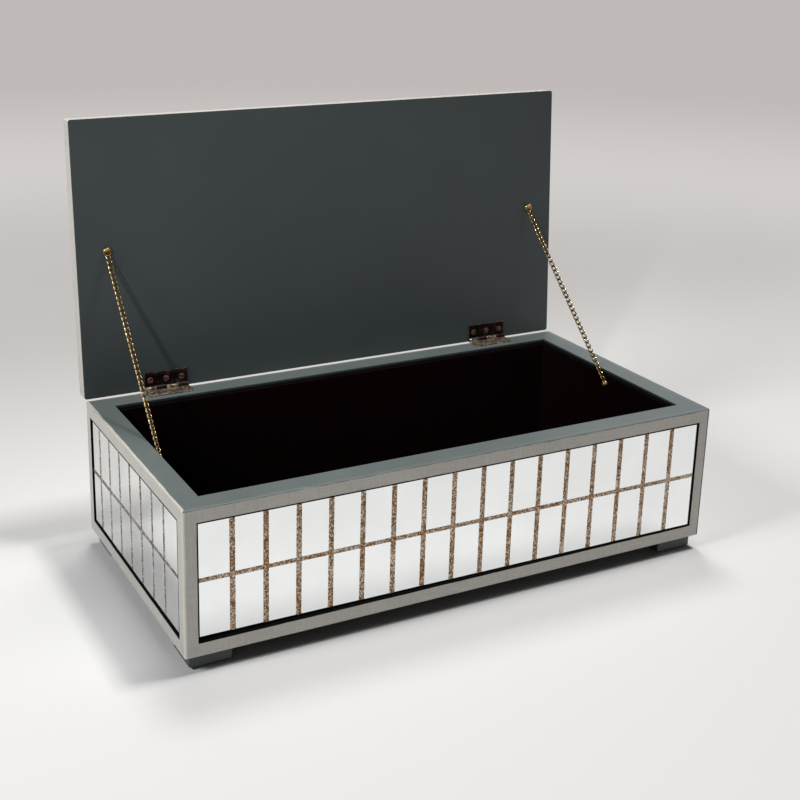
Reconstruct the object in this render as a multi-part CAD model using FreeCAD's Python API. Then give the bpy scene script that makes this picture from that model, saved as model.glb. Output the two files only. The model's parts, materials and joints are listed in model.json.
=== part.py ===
import FreeCAD, Part
import math
import os

# A mirrored trinket box, shown with its lid open. Boards carry facing frames,
# and mirror tiles with glitter strips between them are glued in the windows of
# those frames. Two butt hinges carry the lid and two chains stop it.
# Units are millimetres. Work is set out with X = 0 in the middle of the width,
# Y = 0 at the front face and Z = 0 on the table; the finished pieces are then
# moved so that the origin is at the bottom centre of the open box.

Vec = FreeCAD.Vector
AXIS_X = Vec(1, 0, 0)
AXIS_Z = Vec(0, 0, 1)

# ---- box body ----
box_width = 304.8
box_depth = 150.4
box_height = 75.2
board_thickness = 9.5
base_thickness = 6.0
arris_radius = 1.2          # upright outer corners
edge_radius = 0.5           # outer top and bottom edges

# ---- facing frames ----
frame_thickness = 3.0
frame_border = 7.5          # visible width round each window

# ---- mirror tiles and glitter strips ----
tile_thickness = 0.9
upright_strip = 2.8         # width of the strips between columns
level_strip = 2.2           # width of the strips between rows
tile_edge_gap = 0.4         # tiles to the window's edges
long_columns = 17
short_columns = 8
side_rows = 2
lid_rows = 5

# ---- lining ----
lining_thickness = 1.0
bare_band = 3.0             # painted wall left above the lining

# ---- feet ----
foot_height = 8.5
foot_size = 22.0
foot_inset = 3.2
foot_round = 1.0            # upright edges
foot_bevel = 1.8            # bottom edges

# ---- lid ----
lid_thickness = 9.5
lid_back_overhang = 1.9
lid_open_angle = 93.7
lid_corner_radius = 1.5
lid_edge_radius = 0.6
lid_inner_edge_radius = 0.3

# ---- hinges ----
hinge_length = 25.4
hinge_inset = 34.0          # box end to hinge end
leaf_thickness = 0.9
leaf_reach = 9.4            # pin axis to the leaf's free edge
pin_setback = 0.8           # pin axis behind the box's back face
knuckle_radius = 1.1
knuckle_room = 0.2          # knuckles to the rim and to the lid
knuckle_count = 4
knuckle_gap = 0.25
knuckle_relief = 0.25       # leaf edge to the other leaf's knuckles
pin_radius = 0.55
pin_clearance = 0.05
pin_head_radius = 0.9
pin_head_length = 0.4

# ---- hinge screws ----
screws_per_leaf = 3
screw_pitch = 9.2
screw_line = 4.9            # pin axis to the screws
screw_head_radius = 1.6
screw_shank_radius = 0.8
screw_cone_depth = 0.7
screw_crown = 0.15          # how far a head stands proud
screw_slot_width = 0.4
screw_slot_depth = 0.35
box_screw_length = 9.0
lid_screw_length = 5.2

# ---- chains ----
chain_links = 39
upper_links = 19
turn_links = 1
link_pitch = 3.12
link_wire = 0.85
link_width = 3.0
link_play = 0.1
chain_lid_inset = 16.9      # box end to the lid's chain screw
chain_lid_reach = 82.0      # lid's back edge to its chain screw
chain_drop = 7.1            # rim to the wall's chain screw
chain_wall_gap = 0.3        # lining to the nearest link

# ---- chain screws and rings ----
stud_shank_radius = 0.5
stud_head_radius = 1.6
stud_head_height = 1.2
stud_grip = 5.0             # length in the wood
ring_radius = 2.0           # centre line of the ring on the lid's screw
ring_standoff = 1.6         # ring's plane to the lid
stud_head_gap = 0.25        # head to the ring or link that it holds

# ---- worked out from the sizes above ----
half_width = box_width / 2
rim_z = foot_height + box_height
wall_span = frame_thickness + board_thickness
lid_gap = 2 * (knuckle_radius + knuckle_room)       # lid above the rim when level
lining_side_x = half_width - wall_span - lining_thickness
axis_y = box_depth + pin_setback
axis_z = rim_z + lid_gap / 2
lid_depth = box_depth + lid_back_overhang
lid_face_z = rim_z + lid_gap
link_length = link_pitch + 2 * link_wire + link_play
bend_radius = (link_width - link_wire) / 2
stop_span = chain_links * link_pitch - link_wire / 2 - stud_shank_radius - link_play

nodes = {}


def block(x0, x1, y0, y1, z0, z1):
    """Box between two corners."""
    return Part.makeBox(x1 - x0, y1 - y0, z1 - z0, Vec(x0, y0, z0))


def rounded(shape, radius, wanted):
    """Round the edges that the test picks by its two end points."""
    edges = [e for e in shape.Edges if wanted(e.BoundBox)]
    return shape.makeFillet(radius, edges)


def upright(bounds):
    return bounds.ZLength > 1 and bounds.XLength < 1e-3 and bounds.YLength < 1e-3


def level_at(height):
    """Test for edges that lie in the level plane at this height."""
    def wanted(bounds):
        return bounds.ZLength < 1e-3 and abs(bounds.ZMin - height) < 1e-3
    return wanted


def turned(profile):
    """Solid of revolution about Z of a closed outline in X and Z."""
    points = [Vec(x, 0, z) for x, z in profile]
    face = Part.Face(Part.makePolygon(points + points[:1]))
    return face.revolve(Vec(0, 0, 0), AXIS_Z, 360)


def domed(radius, height):
    """Round screw head: a slice of a ball on the plane Z = 0."""
    ball_radius = (radius ** 2 + height ** 2) / (2 * height)
    ball = Part.makeSphere(ball_radius, Vec(0, 0, height - ball_radius))
    return ball.common(Part.makeCylinder(radius, height, Vec(0, 0, 0), AXIS_Z))


def aimed(shape, place, along, beside=AXIS_X):
    """Turn local Z to 'along', with local X as near 'beside' as it goes, and move it."""
    z_dir = Vec(along).normalize()
    y_dir = z_dir.cross(beside).normalize()
    x_dir = y_dir.cross(z_dir)
    matrix = FreeCAD.Matrix(
        x_dir.x, y_dir.x, z_dir.x, place.x,
        x_dir.y, y_dir.y, z_dir.y, place.y,
        x_dir.z, y_dir.z, z_dir.z, place.z,
        0, 0, 0, 1)
    moved = shape.copy()
    moved.Placement = FreeCAD.Placement(matrix).multiply(moved.Placement)
    return moved


def group(shapes):
    return Part.makeCompound(shapes)


# ---- boards, base and lining ----

def add_boards():
    inner_x = half_width - wall_span
    outer_x = half_width - frame_thickness
    front_y = frame_thickness
    back_y = box_depth - frame_thickness
    low_z = foot_height
    nodes["front_wall"] = block(-outer_x, outer_x, front_y, front_y + board_thickness, low_z, rim_z)
    nodes["back_wall"] = block(-outer_x, outer_x, back_y - board_thickness, back_y, low_z, rim_z)
    side_y0 = front_y + board_thickness
    side_y1 = back_y - board_thickness
    nodes["left_wall"] = block(-outer_x, -inner_x, side_y0, side_y1, low_z, rim_z)
    nodes["right_wall"] = block(inner_x, outer_x, side_y0, side_y1, low_z, rim_z)
    floor_z = low_z + base_thickness
    nodes["base_panel"] = block(-inner_x, inner_x, side_y0, side_y1, low_z, floor_z)

    lining_z = floor_z + lining_thickness
    top_z = rim_z - bare_band
    nodes["floor_lining"] = block(-inner_x, inner_x, side_y0, side_y1, floor_z, lining_z)
    near_y = side_y0 + lining_thickness
    far_y = side_y1 - lining_thickness
    nodes["front_lining"] = block(-inner_x, inner_x, side_y0, near_y, lining_z, top_z)
    nodes["back_lining"] = block(-inner_x, inner_x, far_y, side_y1, lining_z, top_z)
    nodes["left_lining"] = block(-inner_x, -lining_side_x, near_y, far_y, lining_z, top_z)
    nodes["right_lining"] = block(lining_side_x, inner_x, near_y, far_y, lining_z, top_z)


# ---- facing frames, mitred at the corners ----

def corner_wedge(side):
    """Prism over one side's share of the plan, cut at 45 degrees through the corners."""
    middle_x = half_width - box_depth / 2
    middle_y = box_depth / 2
    left_mid = Vec(-middle_x, middle_y, 0)
    right_mid = Vec(middle_x, middle_y, 0)
    corners = {
        "front_left": Vec(-half_width, 0, 0), "front_right": Vec(half_width, 0, 0),
        "back_left": Vec(-half_width, box_depth, 0), "back_right": Vec(half_width, box_depth, 0)}
    outlines = {
        "front": [corners["front_left"], corners["front_right"], right_mid, left_mid],
        "back": [corners["back_right"], corners["back_left"], left_mid, right_mid],
        "left": [corners["back_left"], corners["front_left"], left_mid],
        "right": [corners["front_right"], corners["back_right"], right_mid]}
    points = outlines[side]
    face = Part.Face(Part.makePolygon(points + points[:1]))
    return face.extrude(Vec(0, 0, rim_z + foot_height))


def add_frames():
    shell = block(-half_width, half_width, 0, box_depth, foot_height, rim_z)
    shell = rounded(shell, arris_radius, upright)
    shell = rounded(shell, edge_radius, level_at(rim_z))
    shell = rounded(shell, edge_radius, level_at(foot_height))
    t = frame_thickness
    shell = shell.cut(block(-half_width + t, half_width - t, t, box_depth - t, 0, 2 * rim_z))
    low = foot_height + frame_border
    high = rim_z - frame_border
    window_x = half_width - frame_border
    shell = shell.cut(block(-window_x, window_x, -1, box_depth + 1, low, high))
    side_window = block(-half_width - 1, half_width + 1, frame_border, box_depth - frame_border, low, high)
    shell = shell.cut(side_window)
    for side in ("front", "back", "left", "right"):
        nodes[side + "_frame"] = shell.common(corner_wedge(side)).Solids[0]


# ---- mirror tiles with glitter strips between them ----

def mosaic(width, height, columns, rows):
    """Tiles and strip lattice, flat on Z = 0 with the low left corner at the origin."""
    tile_w = (width - (columns - 1) * upright_strip) / columns
    tile_h = (height - (rows - 1) * level_strip) / rows
    tiles = []
    lattice = block(0, width, 0, height, 0, tile_thickness)
    for column in range(columns):
        x0 = column * (tile_w + upright_strip)
        for row in range(rows):
            y0 = row * (tile_h + level_strip)
            tiles.append(block(x0, x0 + tile_w, y0, y0 + tile_h, 0, tile_thickness))
    return group(tiles), lattice.cut(group(tiles)).Solids[0]


def add_side_mosaics():
    gap = tile_edge_gap
    high = box_height - 2 * frame_border - 2 * gap
    long_run = box_width - 2 * frame_border - 2 * gap
    short_run = box_depth - 2 * frame_border - 2 * gap
    inset = frame_thickness
    low_z = foot_height + frame_border + gap
    start = frame_border + gap
    sides = {
        "front": (long_run, long_columns, Vec(-half_width + start, inset, low_z), Vec(0, -1, 0), AXIS_X),
        "back": (long_run, long_columns, Vec(half_width - start, box_depth - inset, low_z),
                 Vec(0, 1, 0), Vec(-1, 0, 0)),
        "left": (short_run, short_columns, Vec(-half_width + inset, box_depth - start, low_z),
                 Vec(-1, 0, 0), Vec(0, -1, 0)),
        "right": (short_run, short_columns, Vec(half_width - inset, start, low_z),
                  Vec(1, 0, 0), Vec(0, 1, 0))}
    for side, (run, columns, corner, outward, beside) in sides.items():
        tiles, strips = mosaic(run, high, columns, side_rows)
        nodes[side + "_mirror_tiles"] = aimed(tiles, corner, outward, beside)
        nodes[side + "_glitter_strips"] = aimed(strips, corner, outward, beside)


# ---- feet ----

def add_feet():
    span = foot_size
    foot = block(0, span, 0, span, 0, foot_height)
    foot = rounded(foot, foot_round, upright)
    foot = foot.makeChamfer(foot_bevel, [e for e in foot.Edges if level_at(0)(e.BoundBox)])
    left = -half_width + foot_inset
    right = half_width - foot_inset - span
    front = foot_inset
    back = box_depth - foot_inset - span
    for name, x, y in (("front_left", left, front), ("front_right", right, front),
                       ("back_left", left, back), ("back_right", right, back)):
        nodes[name + "_foot"] = foot.translated(Vec(x, y, 0))


# ---- lid, drawn shut and turned open at the end ----

def add_lid():
    x = half_width
    top_z = lid_face_z + lid_thickness
    core_z = top_z - frame_thickness
    shell = block(-x, x, 0, lid_depth, lid_face_z, top_z)
    shell = rounded(shell, lid_corner_radius, upright)
    shell = rounded(shell, lid_edge_radius, level_at(top_z))
    shell = rounded(shell, lid_inner_edge_radius, level_at(lid_face_z))
    t = frame_thickness
    core = block(-x + t, x - t, t, lid_depth - t, lid_face_z, core_z)
    b = frame_border
    window = block(-x + b, x - b, b, lid_depth - b, core_z, top_z + 1)
    nodes["lid_frame"] = shell.cut(core).cut(window)
    nodes["lid_panel"] = core
    start = b + tile_edge_gap
    tiles, strips = mosaic(box_width - 2 * start, lid_depth - 2 * start, long_columns, lid_rows)
    corner = Vec(-x + start, start, core_z)
    nodes["lid_mirror_tiles"] = aimed(tiles, corner, AXIS_Z)
    nodes["lid_glitter_strips"] = aimed(strips, corner, AXIS_Z)


# ---- hinges: leaves in the box's frame, lid leaves drawn shut ----

def hinge_screw(length):
    """Countersunk screw, point down, with the leaf's face at Z = 0."""
    r = screw_shank_radius
    body = turned([(0, 0), (screw_head_radius, 0), (r, -screw_cone_depth), (r, -length + r), (0, -length)])
    crown = domed(screw_head_radius, screw_crown)
    slot = block(-screw_head_radius - 1, screw_head_radius + 1, -screw_slot_width / 2,
                 screw_slot_width / 2, screw_crown - screw_slot_depth, 1)
    return body.fuse(crown).cut(slot).removeSplitter()


def knuckle_spans(first):
    """Start and end of every second knuckle, counted from 'first'."""
    length = hinge_length / knuckle_count
    spans = []
    for index in range(first, knuckle_count, 2):
        start = index * length + (knuckle_gap / 2 if index else 0)
        end = (index + 1) * length - (knuckle_gap / 2 if index < knuckle_count - 1 else 0)
        spans.append((start, end))
    return spans


def leaf(first):
    """Leaf under the pin axis, which is the X axis here; its plate lies towards -Y."""
    under = -lid_gap / 2
    face = under + leaf_thickness
    plate = block(0, hinge_length, -leaf_reach, -knuckle_radius - knuckle_relief, under, face)
    for start, end in knuckle_spans(first):
        tongue = block(start, end, -leaf_reach, -pin_radius, under, face)
        barrel = Part.makeCylinder(knuckle_radius, end - start, Vec(start, 0, 0), AXIS_X)
        plate = plate.fuse(tongue).fuse(barrel)
    bore = Part.makeCylinder(pin_radius + pin_clearance, hinge_length + 2, Vec(-1, 0, 0), AXIS_X)
    return plate.cut(bore).removeSplitter()


def screw_places():
    half_run = (screws_per_leaf - 1) * screw_pitch / 2
    return [hinge_length / 2 - half_run + i * screw_pitch for i in range(screws_per_leaf)]


def mirrored_in_axis(shape):
    """The other leaf's copy: reflected in the level plane through the pin axis."""
    return shape.mirror(Vec(0, 0, 0), AXIS_Z)


def add_hinge(name, left_end):
    at_axis = Vec(left_end, axis_y, axis_z)
    face = -lid_gap / 2 + leaf_thickness
    leaves = (("box", 0, box_screw_length, False), ("lid", 1, lid_screw_length, True))
    for part, first, length, flip in leaves:
        screw = hinge_screw(length)
        screws = group([screw.translated(Vec(x, -screw_line, face)) for x in screw_places()])
        plate = leaf(first).cut(screws)
        if flip:
            plate = mirrored_in_axis(plate)
            screws = mirrored_in_axis(screws)
        nodes[f"{name}_hinge_{part}_leaf"] = plate.translated(at_axis)
        nodes[f"{name}_hinge_{part}_screws"] = screws.translated(at_axis)
    pin = Part.makeCylinder(pin_radius, hinge_length, Vec(0, 0, 0), AXIS_X)
    for head_x in (-pin_head_length, hinge_length):
        pin = pin.fuse(Part.makeCylinder(pin_head_radius, pin_head_length, Vec(head_x, 0, 0), AXIS_X))
    nodes[f"{name}_hinge_pin"] = pin.removeSplitter().translated(at_axis)
    drilled = {"back_wall": "box", "back_frame": "box", "lid_panel": "lid", "lid_frame": "lid"}
    for board, part in drilled.items():
        nodes[board] = nodes[board].cut(nodes[f"{name}_hinge_{part}_screws"]).Solids[0]


# ---- stop chains ----

def open_point(x, y, z):
    """Where a point of the shut lid stands when the lid is open."""
    angle = math.radians(-lid_open_angle)
    dy = y - axis_y
    dz = z - axis_z
    turned_y = dy * math.cos(angle) - dz * math.sin(angle)
    turned_z = dy * math.sin(angle) + dz * math.cos(angle)
    return Vec(x, axis_y + turned_y, axis_z + turned_z)


def opened(shape):
    moved = shape.copy()
    moved.rotate(Vec(0, axis_y, axis_z), AXIS_X, -lid_open_angle)
    return moved


def chain_link():
    """One oval link about the origin, its length along Z and its plane XZ."""
    h = (link_length - link_width) / 2
    r = bend_radius
    path = Part.Wire([
        Part.LineSegment(Vec(r, 0, -h), Vec(r, 0, h)).toShape(),
        Part.Arc(Vec(r, 0, h), Vec(0, 0, h + r), Vec(-r, 0, h)).toShape(),
        Part.LineSegment(Vec(-r, 0, h), Vec(-r, 0, -h)).toShape(),
        Part.Arc(Vec(-r, 0, -h), Vec(0, 0, -h - r), Vec(r, 0, -h)).toShape()])
    section = Part.Wire([Part.Circle(Vec(r, 0, -h), AXIS_Z, link_wire / 2).toShape()])
    return path.makePipeShell([section], True, False)


def stud(standoff):
    """Round-head screw on the plane Z = 0, holding a ring 'standoff' above it."""
    neck = standoff + link_wire / 2 + stud_head_gap
    shank = Part.makeCylinder(stud_shank_radius, neck + stud_grip, Vec(0, 0, -stud_grip), AXIS_Z)
    head = domed(stud_head_radius, stud_head_height).translated(Vec(0, 0, neck))
    slot = block(-stud_head_radius, stud_head_radius, -screw_slot_width / 2, screw_slot_width / 2,
                 neck + stud_head_height - screw_slot_depth, neck + 2 * stud_head_height)
    return shank.fuse(head).cut(slot).removeSplitter()


def add_chain(name, sign):
    lid_x = sign * (half_width - chain_lid_inset)
    screw_y = box_depth + lid_back_overhang - chain_lid_reach
    lid_stud = aimed(stud(ring_standoff), Vec(lid_x, screw_y, lid_face_z), Vec(0, 0, -1))
    nodes[f"{name}_chain_lid_screw"] = lid_stud
    nodes["lid_panel"] = nodes["lid_panel"].cut(lid_stud)
    ring_z = lid_face_z - ring_standoff
    ring_y = screw_y + ring_radius - link_wire / 2 - stud_shank_radius - link_play
    ring = Part.makeTorus(ring_radius, link_wire / 2, Vec(lid_x, ring_y, ring_z), AXIS_Z)
    nodes[f"{name}_chain_lid_ring"] = ring

    wall_standoff = link_width / 2 + chain_wall_gap
    upper_end = open_point(lid_x, ring_y + ring_radius, ring_z)
    wall_x = sign * (lining_side_x - wall_standoff)
    wall_z = rim_z - chain_drop
    run_up = upper_end.z - wall_z
    run_back = math.sqrt(stop_span ** 2 - run_up ** 2 - (wall_x - lid_x) ** 2)
    lower_end = Vec(wall_x, upper_end.y - run_back, wall_z)
    along = (lower_end - upper_end).normalize()
    first_centre = upper_end + along * (link_length / 2 - 1.5 * link_wire - link_play)

    flat_link = chain_link()
    edge_link = flat_link.copy()
    edge_link.rotate(Vec(0, 0, 0), AXIS_Z, 90)
    links = []
    for index in range(chain_links):
        link = flat_link if index % 2 else edge_link
        links.append(aimed(link, first_centre + along * (index * link_pitch), along))
    lower_start = upper_links + turn_links
    nodes[f"{name}_chain_upper"] = group(links[:upper_links])
    nodes[f"{name}_chain_turn"] = group(links[upper_links:lower_start])
    nodes[f"{name}_chain_lower"] = group(links[lower_start:])

    wall_face = Vec(sign * lining_side_x, lower_end.y, wall_z)
    wall_stud = aimed(stud(wall_standoff), wall_face, Vec(-sign, 0, 0), AXIS_Z)
    nodes[f"{name}_chain_box_screw"] = wall_stud
    for board in (f"{name}_wall", f"{name}_lining"):
        nodes[board] = nodes[board].cut(wall_stud)
    turn_end = upper_end + along * (upper_links * link_pitch - link_wire - link_play)
    meeting_end = upper_end + along * (lower_start * link_pitch)
    print(name, "chain pivots", upper_end, turn_end, meeting_end, lower_end)


def main():
    add_boards()
    add_frames()
    add_side_mosaics()
    add_feet()
    add_lid()
    add_hinge("left", -half_width + hinge_inset)
    add_hinge("right", half_width - hinge_inset - hinge_length)
    add_chain("left", -1)
    add_chain("right", 1)
    rides_on_lid = [n for n in nodes if n.startswith("lid_") or "_lid_" in n]
    for name in rides_on_lid:
        nodes[name] = opened(nodes[name])
    depth_open = max(shape.optimalBoundingBox().YMax for shape in nodes.values())
    shift = Vec(0, -depth_open / 2, 0)
    print("moved back to the origin by", shift, "pin axis", axis_y, axis_z)
    os.makedirs("parts", exist_ok=True)
    for name, shape in nodes.items():
        shape.translated(shift).exportStep(f"parts/{name}.step")


main()
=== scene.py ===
"""Looks of a mirrored trinket box with a hinged lid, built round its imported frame.

Metres, in the frame's own axes: +X to the right, +Y to the back, +Z up, with the box standing on Z = 0.
Each side carries a mosaic of mirror plates parted by glitter strips, set back in a linen-faced frame. Boards
are satin slate paint, the compartment is flocked, and brass curb chains hold the lid open.
"""

import json
import math

import bmesh
import bpy
import numpy as np
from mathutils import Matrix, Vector


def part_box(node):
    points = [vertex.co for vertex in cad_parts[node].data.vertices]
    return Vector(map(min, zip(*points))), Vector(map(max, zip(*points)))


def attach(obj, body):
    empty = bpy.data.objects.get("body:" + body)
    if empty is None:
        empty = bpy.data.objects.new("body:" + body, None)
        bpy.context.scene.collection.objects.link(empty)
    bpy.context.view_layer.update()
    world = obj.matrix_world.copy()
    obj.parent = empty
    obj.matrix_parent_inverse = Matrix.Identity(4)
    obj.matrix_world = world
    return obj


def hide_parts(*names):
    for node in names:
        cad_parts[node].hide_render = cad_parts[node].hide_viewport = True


MM = 0.001

# ---- facts of the frame ----
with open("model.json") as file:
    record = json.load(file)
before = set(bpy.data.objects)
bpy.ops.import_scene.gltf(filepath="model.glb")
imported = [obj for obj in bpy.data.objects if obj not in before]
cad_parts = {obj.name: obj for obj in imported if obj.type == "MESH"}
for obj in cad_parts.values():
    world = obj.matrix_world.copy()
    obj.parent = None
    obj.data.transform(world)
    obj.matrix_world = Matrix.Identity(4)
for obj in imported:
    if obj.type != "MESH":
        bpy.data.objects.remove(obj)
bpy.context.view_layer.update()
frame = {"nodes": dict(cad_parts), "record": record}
NODES = frame["nodes"]
JOINTS = {joint["name"]: joint for joint in frame["record"]["behaviour"]["joints"]}
BODY_OF = {node: body
           for body, members in frame["record"]["behaviour"]["bodies"].items()
           for node in members}
SLOT_OF = {row["node"]: row["material_slot"] for row in frame["record"]["subparts"]}

HALF_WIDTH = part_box("front_frame")[1].x
FRONT_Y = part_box("front_frame")[0].y
BACK_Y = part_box("back_frame")[1].y
RIM_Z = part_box("front_frame")[1].z
PIN = np.array(JOINTS["lid_hinge"]["pos_m"])

# ---- the lid's lean past upright, as it stands open ----
LID_LEAN = math.radians(3.7)
X_AXIS = np.array([1.0, 0.0, 0.0])
Y_AXIS = np.array([0.0, 1.0, 0.0])
Z_AXIS = np.array([0.0, 0.0, 1.0])
LID_UP = np.array([0.0, math.sin(LID_LEAN), math.cos(LID_LEAN)])
LID_OUT = np.array([0.0, math.cos(LID_LEAN), -math.sin(LID_LEAN)])
LID_AXES = (X_AXIS, LID_UP, LID_OUT)

# ---- mosaic ----
UPRIGHT_STRIP = 2.7 * MM        # width of the strips that run up the side
LEVEL_STRIP = 2.1 * MM          # width of the strips that run along it
PLATE_EDGE = 0.14 * MM          # ground edge of a mirror plate
PLATE_CORNER = 0.25 * MM        # round of its corners
PLATE_TILT = 0.0035             # largest slope of a plate against its sheet
GRAIN = 0.58 * MM               # size of a glitter grain
GRAIN_LIFT = 0.26 * MM          # how far grains differ in height
GRAIN_SINK = 0.35               # share of that by which the lowest lie under the strip's level
GRAIN_SHIFT = 0.5               # share of a grain's size that it may stray sideways
EDGE_DROP = 0.1 * MM            # how far a strip's long edges lie under its level
STRIP_RAG = 0.30 * MM           # how far a strip's edge wanders inward
WORN_STEP = 14                  # grains between one worn patch and the next

# ---- chain ----
CHAIN_LINKS = 39
UPPER_LINKS = 19
TURN_LINKS = 1
LINK_PITCH = 3.12 * MM
LINK_REACH = 1.95 * MM          # half length of a link's centre line
LINK_HALF_WIDTH = 1.00 * MM
LINK_TWIST = 0.46 * MM          # how far a link's sides stand off its plane
LINK_WIRE = 0.43 * MM           # half thickness of the wire
LINK_SLANT = math.radians(9)    # link's length against the chain's, in the link's plane
LINK_LEAN = math.radians(23)    # how far round a link its rubbed parts lie from its middle
LINK_FILED = 0.60 * MM          # filed faces, from the link's plane
LINK_POINTS = 20                # round a link's centre line
WIRE_POINTS = 8                 # round its wire
INNER_AGE = 0.9                 # how aged a link is where it faces inward
# from here a link is painted dark as shade, where the next link lies over it
COVERED_FROM = 0.38             # cosine of the angle round a link where the next link starts to cover it
COVERED_OVER = 0.30             # how much it rises until the link is covered whole
CHAIN_TURNS = {"left": (76, 126), "right": (10, 100)}    # degrees that its flat side turns by, end to end

# ---- feet and hinges ----
FOOT_CORNER = 1.0 * MM          # round of a foot's upright edges
FOOT_BEVEL = 1.8 * MM           # bevel of its bottom edges
FOOT_CORNER_POINTS = 10
LEAF_MERGE = 0.002 * MM         # points of a leaf nearer than this are one
LEAF_EDGE_RUB_AND_HIGHLIGHT = 0.13 * MM            # bare metal along a leaf's edges, also painted bright as their highlight

random = np.random.default_rng(7)


# ---------------------------------------------------------------- meshes

def new_piece(name, points, faces, node, materials, smooth=True):
    """A closed mesh from computed points and faces, which stands for a node and rides on its body."""
    mesh = bpy.data.meshes.new(name)
    mesh.from_pydata(np.asarray(points, float).reshape(-1, 3).tolist(), [], faces)
    for material in materials:
        mesh.materials.append(material)
    mesh.polygons.foreach_set("use_smooth", np.full(len(mesh.polygons), smooth))
    mesh.update()
    piece = bpy.data.objects.new(name, mesh)
    bpy.context.scene.collection.objects.link(piece)
    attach(piece, BODY_OF[node])
    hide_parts(node)
    return piece


def tube_faces(rings, around, closed=False):
    """Quads of a tube: point (i, j) is joined to (i + 1, j + 1), j wrapping; capped unless it is closed."""
    last = rings if closed else rings - 1
    i, j = np.meshgrid(np.arange(last), np.arange(around), indexing="ij")
    after = (i + 1) % rings
    beside = (j + 1) % around
    quads = np.stack([i * around + j, i * around + beside, after * around + beside, after * around + j], -1)
    faces = quads.reshape(-1, 4).tolist()
    if not closed:
        faces.append(list(range(around - 1, -1, -1)))
        faces.append(list(range((rings - 1) * around, rings * around)))
    return faces


def repeated_faces(faces, copies, points_each):
    """The faces of one shape, said again for each of its copies."""
    return [[corner + copy * points_each for corner in face] for copy in range(copies) for face in faces]


def face_values(piece, name, values):
    """Writes one number per face, for a finish to read."""
    piece.data.attributes.new(name, "FLOAT", "FACE").data.foreach_set("value", values.astype(np.float32))


def node_points(node):
    """All of a node's points, as an array."""
    mesh = NODES[node].data
    flat = np.empty(len(mesh.vertices) * 3, np.float32)
    mesh.vertices.foreach_get("co", flat)
    return flat.reshape(-1, 3).astype(float)


def reach(node, axes, origin):
    """Lowest and highest of a node's points along each of three axes."""
    along = (node_points(node) - origin) @ np.array(axes).T
    return along.min(0), along.max(0)


def placed(local, axes, origin):
    """Points given along three axes, as points of the frame: origin plus each share times its axis."""
    return origin + local @ np.array(axes)


# ---------------------------------------------------------------- mosaic of plates and strips

def plates(centres, halves, tilts, back, face):
    """Mirror plates in a side's own axes.

    The outline is a rounded rectangle: a corner's centre plus the corner radius times (cos a, sin a), with a
    going once round. Four copies of it are drawn in by 0, 0, a part and all of the ground edge while the
    height goes from the back to the face, and each plate's slope adds slope times distance from its centre.
    """
    corner_angles = np.radians(np.array([0, 45, 90]))
    quarter = np.radians(90) * np.repeat(np.arange(4), len(corner_angles))
    angles = np.tile(corner_angles, 4) + quarter
    toward = np.stack([np.cos(angles), np.sin(angles)], -1)
    corner_side = np.sign(np.stack([np.cos(quarter + math.pi / 4), np.sin(quarter + math.pi / 4)], -1))
    insets = np.array([0.0, 0.0, 0.35, 1.0]) * PLATE_EDGE
    levels = np.array([back, face - PLATE_EDGE, face - 0.25 * PLATE_EDGE, face])

    straight = halves[:, None, None, :] - PLATE_CORNER
    radius = (PLATE_CORNER - insets)[None, :, None, None]
    ring = corner_side[None, None] * straight + toward[None, None] * radius
    height = np.broadcast_to(levels[None, :, None], ring.shape[:3])
    height = height + (ring * tilts[:, None, None, :]).sum(-1) * (levels[None, :, None] > back)
    flat = ring + centres[:, None, None, :]
    points = np.concatenate([flat, height[..., None]], -1)
    rings = len(levels)
    around = len(angles)
    faces = repeated_faces(tube_faces(rings, around), len(centres), rings * around)
    return points.reshape(-1, 3), faces


def bars(first, last, half_width, base, level):
    """Glitter strips in a side's own axes, all with the same number of rows.

    A strip is a profile carried from first to last: two feet on the base, and between them a top whose every
    point is raised by a random grain. Its half width is full less a random bite at each row and edge. Also
    gives, per face, how bright the grain is and how worn the strip is there.
    """
    count = len(first)
    length = np.linalg.norm(last - first, axis=1)
    rows = int(round(length.max() / GRAIN)) + 1
    across_count = int(round(2 * half_width / GRAIN)) + 1
    share = np.linspace(0, 1, rows)
    line = first[:, None] + (last - first)[:, None] * share[None, :, None]
    along = (last - first) / length[:, None]
    across = np.stack([-along[:, 1], along[:, 0]], -1)

    bite = STRIP_RAG * random.random((count, rows, 2)) ** 2
    left = -half_width + bite[..., 0]
    right = half_width - bite[..., 1]
    t = np.linspace(0, 1, across_count)
    offset = left[..., None] + (right - left)[..., None] * t
    shift = (random.random(offset.shape) - 0.5) * GRAIN * GRAIN_SHIFT
    shift[..., 0] = 0
    shift[..., -1] = 0
    offset = offset + shift
    lift = level + GRAIN_LIFT * (random.random(offset.shape) ** 1.5 - GRAIN_SINK)
    lift[..., 0] = level - EDGE_DROP
    lift[..., -1] = level - EDGE_DROP

    offset = np.concatenate([right[..., None], offset[..., ::-1], left[..., None]], -1)
    foot = np.full(lift[..., :1].shape, base)
    lift = np.concatenate([foot, lift[..., ::-1], foot], -1)
    flat = line[:, :, None, :] + across[:, None, None, :] * offset[..., None]
    points = np.concatenate([flat, lift[..., None]], -1)
    ring = across_count + 2
    faces = repeated_faces(tube_faces(rows, ring), count, rows * ring)

    knots = rows // WORN_STEP + 3
    patches = random.random((count, knots))
    at = np.linspace(0, knots - 1.001, rows - 1)
    low = np.floor(at).astype(int)
    part = at - low
    worn = patches[:, low] * (1 - part) + patches[:, low + 1] * part
    worn = np.repeat(worn[:, :, None], ring, 2).reshape(count, -1)
    worn = np.concatenate([worn, np.zeros((count, 2))], 1).ravel()
    grain = random.random(len(faces))
    return points.reshape(-1, 3), faces, grain, worn


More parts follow.
